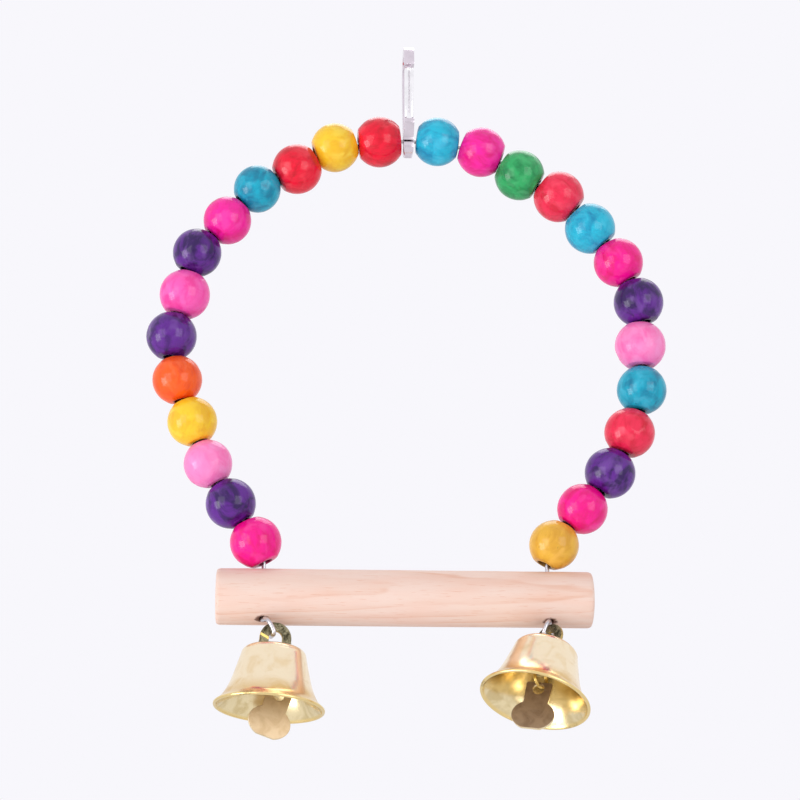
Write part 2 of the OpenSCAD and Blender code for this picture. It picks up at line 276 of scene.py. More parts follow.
def makeLamps():
    for lamp in stage["lamps"]:
        light = bpy.data.lights.new(lamp["name"], "AREA")
        light.shape = "RECTANGLE"
        light.size = lamp["size"][0] * mm
        light.size_y = lamp["size"][1] * mm
        light.energy = lamp["power"]
        thing = bpy.data.objects.new(lamp["name"], light)
        bpy.context.collection.objects.link(thing)
        place = around(camera["aim"], lamp["azimuth"], lamp["elevation"], stage["lampDistance"])
        pointAt(thing, place, camera["aim"])


# Meshes: every piece lies in the swing's frame, and keeps its own place on it as an attribute

def rawMesh(name, points, faces):
    mesh = bpy.data.meshes.new(name)
    mesh.from_pydata([tuple(value * mm for value in point) for point in points], [], faces)
    mesh.update()
    thing = bpy.data.objects.new(name, mesh)
    bpy.context.collection.objects.link(thing)
    return thing


def notePlaces(mesh, toOwn):
    marks = mesh.attributes.new("place", "FLOAT_VECTOR", "POINT")
    flat = []
    for vertex in mesh.vertices:
        flat.extend(toOwn @ (vertex.co / mm))
    marks.data.foreach_set("vector", flat)


def settle(piece, body, node, finish, frameOf=None, crease=38):
    mesh = piece.data
    mesh.materials.clear()
    mesh.materials.append(finish)
    notePlaces(mesh, (frameOf or Matrix.Identity(4)).inverted())
    for face in mesh.polygons:
        face.use_smooth = True
    mesh.set_sharp_from_angle(angle=math.radians(crease))
    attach(piece, body)
    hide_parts(node)


def lathe(outline, turns, closed=False):
    # Turns an outline of (radius, height) pairs about the Z axis
    points = []
    rings = []
    for radius, height in outline:
        count = 1 if radius < 1e-6 else turns
        rings.append([len(points) + i for i in range(count)])
        for i in range(count):
            a = 2 * math.pi * i / turns
            points.append(Vector((radius * math.cos(a), radius * math.sin(a), height)))
    faces = []
    pairs = list(zip(rings, rings[1:] + rings[:1])) if closed else list(zip(rings, rings[1:]))
    for low, high in pairs:
        for i in range(turns):
            j = (i + 1) % turns
            corners = [low[i % len(low)], low[j % len(low)], high[j % len(high)], high[i % len(high)]]
            faces.append(list(dict.fromkeys(corners)))
    return points, [face for face in faces if len(face) > 2]


def curveThrough(points, steps):
    # A smooth curve through given points
    count = len(points)
    curve = []
    for i in range(count - 1):
        at = [points[min(max(i + k - 1, 0), count - 1)] for k in range(4)]
        for s in range(steps):
            t = s / steps
            weights = (
                (-t + 2 * t * t - t ** 3) / 2,
                (2 - 5 * t * t + 3 * t ** 3) / 2,
                (t + 4 * t * t - 3 * t ** 3) / 2,
                (-t * t + t ** 3) / 2,
            )
            curve.append(tuple(sum(w * p[d] for w, p in zip(weights, at)) for d in range(len(points[0]))))
    curve.append(tuple(points[-1]))
    return curve


def sweep(path, sections, start=(0, 1, 0)):
    # Carries sections, one for each point, down a path without twist, and closes both ends
    path = [Vector(point) for point in path]
    last = len(path) - 1
    side = Vector(start)
    points = []
    for i, point in enumerate(path):
        ahead = (path[min(i + 1, last)] - path[max(i - 1, 0)]).normalized()
        side = (side - side.dot(ahead) * ahead).normalized()
        across = ahead.cross(side)
        points.extend(point + u * across + v * side for u, v in sections[i])
    ring = len(sections[0])
    faces = []
    for i in range(last):
        a = i * ring
        b = a + ring
        faces.extend([a + j, a + (j + 1) % ring, b + (j + 1) % ring, b + j] for j in range(ring))
    faces.append(list(range(ring))[::-1])
    faces.append([last * ring + j for j in range(ring)])
    return points, faces


def roundSection(radius, sides):
    angles = [2 * math.pi * j / sides for j in range(sides)]
    return [(radius * math.cos(a), radius * math.sin(a)) for a in angles]


def placed(matrix, points):
    return [matrix @ point for point in points]


def baked(piece):
    # The mesh that a piece's modifiers give, in place of the plain one
    graph = bpy.context.evaluated_depsgraph_get()
    mesh = bpy.data.meshes.new_from_object(piece.evaluated_get(graph))
    piece.modifiers.clear()
    piece.data = mesh


def cutOut(piece, tools):
    for tool in tools:
        cut = piece.modifiers.new("cut", "BOOLEAN")
        cut.object = tool
        cut.solver = "EXACT"
    baked(piece)
    for tool in tools:
        bpy.data.objects.remove(tool)


makeRoom()
makeFloor()
makeLamps()
print("stage set")


# Beads: turned wood, dyed and varnished

beads = {
    "turns": 72,
    "steps": 5,
    "bore": 3.8,
    "length": 12.6,
    "lipHeight": 0.12,
    "lipWidth": 0.4,
    "lipFade": 2.5,
    "boreSteps": 6,
    "lump": 0.16,
    "lumpScale": 0.16,
    "smallFlats": 3,
    "smallFlatDepth": (0.1, 0.08),
    "colours": {
        "red": (fromScreen(240, 6, 50), fromScreen(196, 0, 30)),
        "rose": (fromScreen(242, 40, 80), fromScreen(206, 12, 46)),
        "yellow": (fromScreen(252, 206, 44), fromScreen(232, 160, 22)),
        "teal": (fromScreen(6, 170, 200), fromScreen(4, 116, 152)),
        "sky": (fromScreen(30, 186, 218), fromScreen(8, 134, 178)),
        "magenta": (fromScreen(252, 26, 162), fromScreen(224, 6, 118)),
        "purple": (fromScreen(96, 30, 144), fromScreen(44, 8, 82)),
        "pink": (fromScreen(255, 92, 184), fromScreen(246, 52, 152)),
        "palePink": (fromScreen(255, 138, 200), fromScreen(252, 92, 172)),
        "orange": (fromScreen(254, 96, 20), fromScreen(228, 60, 8)),
        "hotPink": (fromScreen(252, 4, 148), fromScreen(228, 0, 110)),
        "green": (fromScreen(44, 172, 98), fromScreen(14, 116, 64)),
        "ochre": (fromScreen(236, 182, 62), fromScreen(202, 134, 34)),
    },
    "mottle": {
        "others": 0.75, "yellow": 0.45, "ochre": 0.45, "purple": 0.95, "palePink": 0.6, "orange": 0.65,
    },
    "slots": {"rose": "bead_red", "palePink": "bead_pink", "hotPink": "bead_hot_pink"},
    "left": ["red", "yellow", "red", "teal", "magenta", "purple", "pink", "purple", "orange", "yellow",
             "palePink", "purple", "hotPink"],
    "right": ["sky", "magenta", "green", "rose", "sky", "hotPink", "purple", "palePink", "teal", "rose",
              "purple", "hotPink", "ochre"],
    # Flat spots: bead, the way each faces, and how deep it is
    "flats": {
        "bead_left_8": [((-0.92, -0.4, 0.02), 0.32)],
        "bead_right_10": [((0.15, -0.97, 0.1), 0.42)],
        "bead_left_5": [((0.3, -0.9, 0.25), 0.25)],
        "bead_left_4": [((0.1, -0.96, 0.2), 0.22)],
        "bead_right_8": [((-0.2, -0.95, 0.2), 0.2)],
        "bead_left_11": [((0.2, -0.95, 0.1), 0.22)],
    },
    "spots": {"bead_right_9": 0.5, "bead_right_13": 0.45, "bead_left_4": 0.3, "bead_right_11": 0.3},
}


def beadOutline(radius):
    # From one bore to the other: the lip of the hole, the round body, and the other lip, then the bore
    half = beads["length"] / 2
    bore = beads["bore"] / 2
    flat = math.sqrt(radius ** 2 - half ** 2)
    lip = (bore + beads["lipWidth"], half + beads["lipHeight"])
    top = [(bore, half - 0.5), (bore + 0.1, half - 0.08), lip, (flat - 0.3, half - 0.03)]
    first = math.atan2(half, flat) - math.radians(4)
    angles = [first * share for share in (1, 0.72, 0.45, 0.22, 0)]
    rising = top + [(radius * math.cos(a), radius * math.sin(a)) for a in angles]
    return rising + [(r, -z) for r, z in reversed(rising[:-1])]


def beadFinish(name, colour, seed, spots):
    finish = Finish(name)
    bright, deep = beads["colours"][colour]
    place = finish.place()
    x, y = finish.parts(place)[:2]
    shift = (seed * 3.7, seed * 5.1, seed * 2.3)
    blotch = finish.cloud(finish.stretch(place, (1, 1, 0.8), shift), 0.2, 3, 0.55, 0.8)
    grain = finish.cloud(finish.stretch(place, (1, 0.35, 0.1), shift), 1.1, 4, 0.6, 0.4)
    fibre = finish.cloud(finish.stretch(place, (1, 1, 0.07), shift), 3.2, 3, 0.6)
    away = (x * x + y * y) ** 0.5
    ragged = finish.cloud(finish.stretch(place, (1, 1, 1), shift), 1.4, 2, 0.6)
    # Painted shade: the bore and the lip of the hole are darkened towards near black
    boreShade = 1 - (away - ragged * 0.9).rise(1.5, 2.2)
    depth = beads["mottle"].get(colour, beads["mottle"]["others"])
    dye = (blotch.rise(0.4, 0.66) * depth + grain.rise(0.46, 0.7) * depth * 0.4).limit()
    body = finish.tint(dye, bright, deep)
    paler = tuple(min(1, value * 1.1 + 0.06) for value in bright)
    worn = finish.cloud(finish.stretch(place, (1, 1, 0.7), shift), 0.26, 2, 0.5, 0.5)
    body = finish.tint(worn.rise(0.52, 0.72) * 0.5 + fibre.rise(0.55, 0.8) * 0.2, body, paler)
    # Near-black, for the painted shade in the bore and for the real dark spots
    spotsAndBoreShade = tuple(value * 0.2 for value in deep)
    body = finish.tint(boreShade * 0.8, body, spotsAndBoreShade)
    pits = finish.cloud(finish.stretch(place, (1, 1, 0.35), shift), 0.9, 1, 0.4).rise(0.7, 0.76)
    if spots:
        marks = pits * finish.cloud(finish.stretch(place, (1, 1, 1), shift), 0.3, 1).rise(0.45, 0.6)
        body = finish.tint(marks * spots, body, spotsAndBoreShade)
    height = grain * 0.5 + fibre * 0.3 - pits * (0.8 if spots else 0.25)
    return finish.surface(
        Base_Color=body, Roughness=0.46 + 0.16 * grain, Normal=finish.bump(height, 0.22, 0.12),
        Specular_IOR_Level=0.05, Coat_Weight=0.72, Coat_Roughness=0.14,
    )


def makeBead(side, number):
    name = f"bead_{side}_{number}"
    axis = jointAxis(name + "_spin")
    if axis.z < 0:
        axis = -axis
    facing = axis.to_track_quat("Z", "Y").to_matrix().to_4x4()
    frameOf = Matrix.Translation(jointPlace(name + "_spin")) @ facing
    low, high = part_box(name)
    radius = (high.y - low.y) / mm / 2
    outline = curveThrough(beadOutline(radius), beads["steps"])
    bore = beads["bore"] / 2
    steps = beads["boreSteps"]
    inner = [(bore, outline[-1][1] * (1 - 2 * i / steps)) for i in range(1, steps)]
    points, faces = lathe(outline + inner, beads["turns"], closed=True)
    seed = number + (40 if side == "right" else 0)
    turn = frameOf.to_3x3()
    marked = beads["flats"].get(name, [])
    flats = [(turn.inverted() @ Vector(way).normalized(), depth) for way, depth in marked]
    least, more = beads["smallFlatDepth"]
    for k in range(beads["smallFlats"]):
        way = Vector((math.sin(seed * 2.1 + k * 2), math.cos(seed * 1.3 + k * 3), math.sin(seed + k * 5) / 2))
        way.normalize()
        flats.append((way, least + more * math.sin(seed + k) ** 2))
    for point in points:
        away = math.hypot(point.x, point.y)
        body = min(1, max(0, (away - bore - beads["lipWidth"]) / beads["lipFade"]))
        for way, depth in flats:
            over = point.dot(way) - (radius - depth)
            if over > 0:
                point -= way * over * body
        lump = noise.noise(point * beads["lumpScale"] + Vector((seed * 7.3, 0, 0)))
        point -= point.normalized() * beads["lump"] * body * (0.5 + 0.5 * lump)
    bead = rawMesh(name + "_wood", placed(frameOf, points), faces)
    colour = beads[side][number - 1]
    slot = beads["slots"].get(colour, "bead_" + colour)
    finish = beadFinish(name + "_dye", colour, seed, beads["spots"].get(name, 0))
    settle(bead, name, name, finish, frameOf, crease=60)


for side in ("left", "right"):
    for number in range(1, 14):
        makeBead(side, number)
print("beads threaded")


# Perch: a turned pine dowel with two slanted holes

perch = {
    "chamfer": 0.7,
    "turns": 120,
    "rows": 70,
    "hole": 1.1,
    "holeSlant": 14,
    "drillOver": 3,
    "rightTrim": 0.8,
    "wear": 0.05,
    "ringSpacing": 2.7,
    "sapwood": fromScreen(240, 212, 200),
    "latewood": fromScreen(222, 158, 122),
    "blush": fromScreen(240, 196, 178),
    "holeShade": fromScreen(96, 50, 32),
}


def pineFinish(centre):
    finish = Finish("barePine")
    place = finish.place()
    x, y, z = finish.parts(place)
    # The tree's heart lies behind and below the dowel, a little askew
    sway = finish.cloud(finish.stretch(place, (0.016, 0.1, 0.1)), 1.0, 2, 0.5) - 0.5
    ripple = finish.cloud(finish.stretch(place, (0.05, 0.5, 0.5), (9, 4, 2)), 1.0, 3, 0.6) - 0.5
    across = y + 26 + x * 0.04
    upright = z - 6 - x * 0.03
    ringAt = (across * across + upright * upright) ** 0.5 + sway * 5.5 + ripple * 0.6
    ring = finish.add("ShaderNodeMath", {"operation": "FRACT"}, {0: ringAt / perch["ringSpacing"]})
    line = ring.rise(0.3, 0.9) * (1 - ring.rise(0.9, 1.0))
    thin = ring.rise(0.8, 0.9) * (1 - ring.rise(0.92, 1.0))
    strength = finish.cloud(finish.stretch(place, (0.03, 0.3, 0.3), (3, 8, 1)), 1.0, 2, 0.6).rise(0.35, 0.7)
    fibre = finish.cloud(finish.stretch(place, (0.09, 2.6, 2.6)), 1.0, 4, 0.65)
    dashes = finish.cloud(finish.stretch(place, (0.2, 3.4, 3.4), (7, 1, 3)), 1.0, 2, 0.5).rise(0.62, 0.7)
    flush = finish.cloud(finish.stretch(place, (0.04, 0.16, 0.16), (1, 5, 7)), 1.0, 2, 0.5).rise(0.4, 0.7)
    wood = finish.tint(flush * 0.5, perch["sapwood"], perch["blush"])
    bands = (line * (0.05 + 0.2 * strength) + thin * strength * 0.25).limit()
    wood = finish.tint(bands, wood, perch["latewood"])
    wood = finish.tint(fibre.rise(0.52, 0.8) * 0.16 + dashes * 0.42, wood, perch["latewood"])
    # Painted shade: dark brown fills both holes and runs raggedly round their rims
    holeShadeRag = finish.cloud(finish.stretch(place, (0.8, 2, 2)), 1.0, 3, 0.6)
    slant = math.radians(perch["holeSlant"])
    for side in ("left", "right"):
        hole = wireTop(side) - centre
        sideways = x - hole.x
        through = (y - hole.y) * math.cos(slant) - (z - hole.z) * math.sin(slant)
        away = (sideways * sideways * 0.5 + through * through) ** 0.5 - holeShadeRag * 1.1
        wood = finish.tint((1 - away.rise(0.55, 1.15)) * 0.9, wood, perch["holeShade"])
    height = fibre * 0.6 - line * 0.25 - dashes * 0.3
    return finish.surface(
        Base_Color=wood, Roughness=0.62 + 0.12 * fibre, Normal=finish.bump(height, 0.3, 0.12),
    )


def makePerch():
    low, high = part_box("perch")
    radius = (high.z - low.z) / mm / 2
    half = (high.x - low.x) / mm / 2
    centre = (low + high) / mm / 2
    chamfer = perch["chamfer"]
    start = half - chamfer * 2.6
    edge = curveThrough([(radius - chamfer * 1.25, -half), (radius - chamfer * 0.45, -half + chamfer * 0.28),
                         (radius - 0.03, -half + chamfer * 1.3), (radius, -start)], 4)
    end = [(0, -half), (radius * 0.5, -half), (radius * 0.8, -half)] + edge
    body = [(radius, -start + 2 * start * i / perch["rows"]) for i in range(1, perch["rows"])]
    points, faces = lathe(end + body + [(r, -h) for r, h in reversed(end)], perch["turns"])
    frameOf = Matrix.Translation(centre) @ turned(90, "Y")
    for point in points:
        if point.z > 0:
            point.z *= 1 - perch["rightTrim"] / half
        a = math.atan2(point.y, point.x)
        away = math.hypot(point.x, point.y)
        glintBand = noise.noise(Vector((math.cos(a), math.sin(a), point.z * 0.05)) * 1.4)
        wear = perch["wear"] * (1 + glintBand)
        if away > radius * 0.6:
            scale = (away - wear) / away
            point.x *= scale
            point.y *= scale
    dowel = rawMesh("perch_dowel", placed(frameOf, points), faces)
    over = perch["drillOver"]
    bottom = -2 * (radius + over)
    tools = []
    for side in ("left", "right"):
        drill = Matrix.Translation(wireTop(side)) @ turned(-perch["holeSlant"], "X")
        tool, toolFaces = lathe([(0, bottom), (perch["hole"], bottom), (perch["hole"], over), (0, over)], 32)
        tools.append(rawMesh("drill", placed(drill, tool), toolFaces))
    cutOut(dowel, tools)
    settle(dowel, "swing", "perch", pineFinish(centre), Matrix.Translation(centre), crease=32)


# Wire: the arch's route, as the beads lie on it, and a hook under each end of the perch

wire = {
    "radius": 0.6,
    "sides": 20,
    "ringSpacing": 2.5,
    "endTaper": 0.72,
    "endLength": 0.18,
    "topRun": 2,
    "drop": 23.8,
    "pitch": {"left": 13.35, "right": 13.5},
    # Degrees below level between beads, from the hook down. These lists weren't chosen by hand: a
    # fitting script worked them out from bead centres measured in a photograph
    "heading": {
        "left": [0, 13, 26, 36, 45, 56, 69, 81, 96, 108, 115, 121, 128, 103],
        "right": [0, 13, 27, 36, 44, 54, 68, 85, 96, 106, 117, 126, 133, 101],
    },
    "stepsPerBead": 6,
    "kneeSteps": 10,
    "cornerSteps": 6,
    # Solved by a script for where the bells hang, then rounded, and the right one lowered by hand
    "seat": {"left": (2.8, -1.4, -4.8), "right": (-0.4, -1.8, -4.2)},
    "yaw": {"left": 12, "right": -48},
    "tip": 2.0,
    "run": 0.3,
    "halfWidth": 2.45,
    "kneeRise": 0.6,
    "kneeReach": 0.8,
    "kneeShare": 0.58,
    "corner": 1.0,
    "steel": fromScreen(206, 202, 206),
    "rough": 0.2,
    "scratch": 0.16,
}


def wirePoints(side):
    heading = wire["heading"][side]
    way = -1 if side == "left" else 1
    point = Vector((wire["topRun"], -wire["drop"]))
    path = [Vector((way * point.x, 0, point.y))]
    steps = wire["stepsPerBead"]
    for first, last in zip(heading, heading[1:]):
        for s in range(steps):
            angle = math.radians(first + (last - first) * (s + 0.5) / steps)
            point = point + wire["pitch"][side] / steps * Vector((math.cos(angle), -math.sin(angle)))
            path.append(Vector((way * point.x, 0, point.y)))
    return path


def wireTop(side):
    # Where a leg meets the top of the perch
    end = wirePoints(side)[-1]
    return Vector((end.x, 0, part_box("perch")[1].z / mm))


def legPoints(side):
    # Out of the perch, forwards past the bail, under its round top and up behind it
    top = wireTop(side)
    yaw = math.radians(wire["yaw"][side])
    back = Vector((-math.sin(yaw), math.cos(yaw), 0))
    up = Vector((0, 0, 1))
    slant = math.radians(perch["holeSlant"])
    down = Vector((0, -math.sin(slant), -math.cos(slant)))
    low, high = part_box("perch")
    out = top + (high.z - low.z) / mm * math.cos(slant) * down
    seat = out + Vector(wire["seat"][side])
    corner = wire["corner"]
    centre = seat + corner * up
    reach = wire["halfWidth"] - corner
    start = out + wire["run"] * down
    front = centre - wire["halfWidth"] * back
    knee = Vector((front.x + wire["kneeShare"] * (top.x - front.x), front.y - wire["kneeReach"],
                   out.z + wire["kneeRise"]))
    path = [top]
    for i in range(wire["kneeSteps"] + 1):
        t = i / wire["kneeSteps"]
        path.append((1 - t) ** 2 * start + 2 * t * (1 - t) * knee + t * t * front)
    turns = wire["cornerSteps"]
    for i in range(1, turns + 1):
        a = math.pi / 2 * i / turns
        path.append(centre - reach * back - corner * (math.cos(a) * back + math.sin(a) * up))
    for i in range(turns + 1):
        a = math.pi / 2 * i / turns
        path.append(centre + reach * back + corner * (math.sin(a) * back - math.cos(a) * up))
    path.append(seat + wire["halfWidth"] * back + wire["tip"] * up)
    return path


def steelFinish(name, colour, rough, scratch, along):
    finish = Finish(name)
    place = finish.place()
    drawn = finish.cloud(finish.stretch(place, along), 1.0, 3, 0.6)
    patch = finish.cloud(place, 0.35, 3, 0.55)
    shade = tuple(value * 0.82 for value in colour)
    body = finish.tint(patch.rise(0.35, 0.75) * 0.6, colour, shade)
    return finish.surface(
        Base_Color=body, Metallic=1.0, Roughness=rough + scratch * drawn,
        Normal=finish.bump(drawn, 0.12, 0.05),
    )


def makeWire():
    left = wirePoints("left") + legPoints("left")
    right = wirePoints("right") + legPoints("right")
    path = [Vector(point) for point in list(reversed(left)) + right]
    rings = [path[0]]
    for a, b in zip(path, path[1:]):
        # Long runs get more rings, so that the sections stay round where the wire bends
        parts = max(1, int((b - a).length / wire["ringSpacing"]))
        rings.extend(a + (b - a) * i / parts for i in range(1, parts + 1))
    # Both ends are filed to a blunt taper
    first = rings[0] + (rings[1] - rings[0]).normalized() * wire["endLength"]
    last = rings[-1] + (rings[-2] - rings[-1]).normalized() * wire["endLength"]
    tipped = [rings[0], first] + rings[1:-1] + [last, rings[-1]]
    full = roundSection(wire["radius"], wire["sides"])
    filed = roundSection(wire["radius"] * wire["endTaper"], wire["sides"])
    points, faces = sweep(tipped, [filed] + [full] * (len(tipped) - 2) + [filed])
    piece = rawMesh("arch_wire_steel", points, faces)
    finish = steelFinish("drawnSteel", wire["steel"], wire["rough"], wire["scratch"], (1.5, 1.5, 1.5))
    settle(piece, "swing", "arch_wire", finish, crease=45)


makeWire()
makePerch()
print("wire bent and perch drilled")


# Bells: pressed brass cups, each on a stamped bail, with a flat clapper on a split ring

bell = {
    "mouth": 30.4,
    "crown": 18,
    "height": 17,
    "wall": 0.6,
    "lip": 0.45,
    "shoulder": 2.4,
    "radiusShares": [0.22, 0.38, 0.55, 0.77, 1],
    "depthShares": [0.42, 0.6, 0.74, 0.87, 0.97],
    "shoulderAngles": [0, 12, 30, 50, 70, 86],
    "lipAngles": [60, 25, -10, -45, -80, -115, -150, -185],
    "turns": 144,
    "seatGap": 0.1,
    "slotSpan": (-1.4, 0.8),
    "cream": fromScreen(250, 233, 200),
    "honey": fromScreen(224, 186, 116),
    "lipGold": fromScreen(238, 210, 140),
    "lipDarkReflection": fromScreen(112, 96, 44),
    "inside": fromScreen(243, 225, 180),
    "insideDeep": fromScreen(208, 182, 124),
}
bail = {
    "opening": 1.9,
    "band": 2.5,
    "thick": 1.1,
    "rise": 3,
    "flare": 0.9,
    "flareShare": 0.4,
    "footBand": 1.2,
    "foot": 5.4,
    "edge": 0.16,
    "glintAt": (-4.8, 0.9),
    "glintAcross": (0.409, 0.912),
    "olive": fromScreen(160, 152, 122),
    "smut": fromScreen(66, 62, 46),
    "gold": fromScreen(244, 208, 120),
}
ring = {
    "radius": 2.6,
    "wire": 0.9,
    "strand": 0.5,
    "side": 0.22,
    "jog": 50,
    "start": 150,
    "steps": 160,
    "sides": 14,
    "gold": fromScreen(236, 204, 122),
    "dull": fromScreen(190, 146, 62),
    "rough": 0.2,
}
clapper = {
    "lobe": (11.8, 9),
    "thick": 0.9,
    "length": 12.4,
    "neck": 5.4,
    "top": 7.4,
    "rim": 0.5,
    "hole": 1.6,
    "corner": 0.5,
    "edge": 0.12,
    # The right plate is painted darker than the left, as painted shade: both are the same stamped brass
    "faces": {
        "left": (fromScreen(222, 198, 162), fromScreen(194, 164, 122)),
        "right": (fromScreen(172, 146, 118), fromScreen(126, 100, 76)),
    },
    "cutEdge": fromScreen(246, 228, 186),
}
hang = {
    "left": {"lean": (-7, 4), "seatAngle": 60, "ringTilt": -30, "plateTilt": 14, "plateTurn": 0},
    "right": {"lean": (-19, 16), "seatAngle": 0, "ringTilt": -6, "plateTilt": 0, "plateTurn": 26},
}
bailLow = -bail["rise"] - bell["wall"] - bail["foot"]
ringCentre = bailLow - bail["opening"] + bell["seatGap"] - math.sqrt(
    (ring["radius"] - ring["wire"] / 2) ** 2 - (bail["thick"] / 2) ** 2)


def bellFrame(side):
    # The middle of the bail's opening, with the bell's own axis down
    facts = hang[side]
    tilt = math.radians(math.hypot(*facts["lean"]))
    touch = (wire["radius"] + bail["thick"] / 2 * math.sin(tilt)) / math.cos(tilt)
    reach = bail["opening"] - touch - bell["seatGap"]
    a = math.radians(facts["seatAngle"])
    turn = turned(facts["lean"][1], "Y") @ turned(facts["lean"][0], "X") @ turned(wire["yaw"][side], "Z")
    offset = Matrix.Translation((reach * math.sin(a), 0, -reach * math.cos(a)))
    return Matrix.Translation(jointPlace(f"bell_{side}_swing")) @ turn @ offset


def turnedAt(height, degrees):
    return Matrix.Translation((0, 0, height)) @ turned(degrees, "Y") @ Matrix.Translation((0, 0, -height))


def ringFrame(side):
    return bellFrame(side) @ turnedAt(ringCentre + ring["radius"], hang[side]["ringTilt"])


def clapperFrame(side):
    # The plate turns on the ring's wire by the rest of its own tilt
    facts = hang[side]
    follow = turnedAt(ringCentre - ring["radius"], facts["plateTilt"] - facts["ringTilt"])
    return ringFrame(side) @ follow @ turned(facts["plateTurn"], "Z")


def bellOutline(wall):
    crown = bell["crown"] / 2
    mouth = bell["mouth"] / 2 - bell["lip"]
    shoulder = bell["shoulder"]
    bendRadius = shoulder - wall
    angles = [math.radians(a) for a in bell["shoulderAngles"]]
    bend = [(crown - shoulder + bendRadius * math.sin(a), -shoulder + bendRadius * math.cos(a))
            for a in angles]
    flare = [(crown + (mouth - crown) * r - wall, -bell["height"] * d)
             for r, d in zip(bell["radiusShares"], bell["depthShares"])]
    return [(0, -wall), (crown * 0.4, -wall)] + bend + flare


def cupFinish():
    finish = Finish("paleBrass")
    place = finish.place()
    x, y, z = finish.parts(place)
    away = (x * x + y * y) ** 0.5
    depth = -bail["rise"] - z
    spun = finish.add("ShaderNodeCombineXYZ", {}, {0: away * 4, 1: z * 4, 2: 0.0})
    lathed = finish.cloud(spun, 1.0, 3, 0.6)
    patch = finish.cloud(place, 0.2, 4, 0.55, 0.8)
    smut = finish.cloud(place, 1.7, 5, 0.7, 1.2)
    # Painted reflection: a honey band just above the lip; elsewhere the lacquer wears off in patches
    aboveLip = 1 - depth.rise(bell["height"] - 1.5, bell["height"] - 0.9)
    aboveLipReflection = depth.rise(bell["height"] * 0.6, bell["height"] * 0.86) * aboveLip
    tone = (patch.rise(0.42, 0.72) * 0.35 + aboveLipReflection * 0.6 + smut.rise(0.62, 0.85) * 0.12).limit()
    body = finish.tint(tone, bell["cream"], bell["honey"])
    # Painted reflection: the rolled lip is coloured gold, with dark olive streaks painted in here and there
    atLip = depth.rise(bell["height"] - 1.5, bell["height"] - 1.1)
    lipDarkStreak = finish.cloud(place, 0.11, 2, 0.5).rise(0.58, 0.66) * smut.rise(0.4, 0.6)
    body = finish.tint(atLip * 0.85, body, finish.tint(lipDarkStreak * 0.8, bell["lipGold"], bell["lipDarkReflection"]))
    # Painted shade: the hollow is coloured a deeper gold than the outside, mottled between two tones
    inside = finish.add("ShaderNodeAttribute", {"attribute_name": "inside"}, {}, 2)
    insideShadeMottle = (patch.rise(0.4, 0.66) * 0.6 + smut.rise(0.5, 0.8) * 0.3).limit()
    body = finish.tint(inside, body, finish.tint(insideShadeMottle, bell["inside"], bell["insideDeep"]))
    height = lathed * 0.5 + patch * 0.5
    return finish.surface(
        Base_Color=body, Metallic=1.0, Roughness=0.13 + 0.09 * patch + 0.07 * lathed,
        Normal=finish.bump(height, 0.09, 0.1),
    )


def ringFinish():
    finish = Finish("goldWire")
    place = finish.place()
    patch = finish.cloud(place, 0.5, 4, 0.6, 0.8)
    grain = finish.cloud(place, 2.6, 4, 0.65)
    tone = (patch.rise(0.35, 0.75) * 0.45 + grain.rise(0.55, 0.8) * 0.25).limit()
    return finish.surface(
        Base_Color=finish.tint(tone, ring["gold"], ring["dull"]), Metallic=1.0,
        Roughness=ring["rough"] + 0.12 * grain, Normal=finish.bump(grain, 0.1, 0.06),
    )


def bailFinish():
    finish = Finish("agedBrass")
    place = finish.place()
    x, y, z = finish.parts(place)
    patch = finish.cloud(place, 0.55, 4, 0.6, 0.9)
    smut = finish.cloud(finish.stretch(place, (1, 1, 0.6), (4, 2, 1)), 1.5, 5, 0.75, 1.3)
    tone = (patch.rise(0.36, 0.66) * 0.6 + smut.rise(0.44, 0.62) * 0.75).limit()
    body = finish.tint(tone, bail["olive"], bail["smut"])
    # Painted highlight: a gold band crosses one leg of the plate
    glintX, glintZ = bail["glintAt"]
    acrossX, acrossZ = bail["glintAcross"]
    slope = (x - glintX) * acrossX + (z - glintZ) * acrossZ
    glintBand = (1 - slope.size().rise(0.26, 0.42)) * (1 - x.rise(-1.6, -1.2))
    cut = 1 - y.size().rise(bail["thick"] / 2 - 0.22, bail["thick"] / 2 - 0.04)
    bright = (glintBand + cut * 0.55 * (1 - smut.rise(0.5, 0.7))).limit()
    body = finish.tint(bright, body, bail["gold"])
    return finish.surface(
        Base_Color=body, Metallic=1.0, Roughness=0.46 - 0.2 * glintBand + 0.14 * smut,
        Normal=finish.bump(smut + patch * 0.4, 0.25, 0.1),
    )


def plateFinish(side):
    finish = Finish("stamped" + side.capitalize())
    face, shade = clapper["faces"][side]
    place = finish.place()
    y = finish.parts(place)[1]
    rolled = finish.cloud(finish.stretch(place, (0.35, 0.35, 3.2)), 1.0, 3, 0.6)
    patch = finish.cloud(place, 0.3, 4, 0.6, 0.8)
    smut = finish.cloud(place, 1.8, 5, 0.7, 1.0)
    tone = (patch.rise(0.35, 0.7) * 0.55 + smut.rise(0.55, 0.8) * 0.35).limit()
    cut = 1 - y.size().rise(clapper["thick"] / 2 - 0.16, clapper["thick"] / 2 - 0.02)
    body = finish.tint(cut, finish.tint(tone, face, shade), clapper["cutEdge"])
    return finish.surface(
        Base_Color=body, Metallic=0.9 + 0.1 * cut, Roughness=0.44 - 0.2 * cut + 0.1 * rolled,
        Normal=finish.bump(rolled + smut * 0.4, 0.14, 0.08),
    )


def noteInside(mesh, frameOf):
    # Marks the points that face the bell's own hollow, where the cup's finish paints shade
    marks = mesh.attributes.new("inside", "FLOAT", "POINT")
    own = frameOf.inverted()
    turn = own.to_3x3()
    flat = []
    for vertex in mesh.vertices:
        place = own @ (vertex.co / mm)
        facing = turn @ vertex.normal
        away = math.hypot(place.x, place.y)
        inward = -(facing.x * place.x + facing.y * place.y) > 0.25 * away
        under = facing.z < -0.5 and away < bell["crown"] / 2
        rolled = place.z < -bail["rise"] - bell["height"] + 2 * bell["lip"]
        flat.append(1.0 if (inward or under) and not rolled else 0.0)
    marks.data.foreach_set("value", flat)


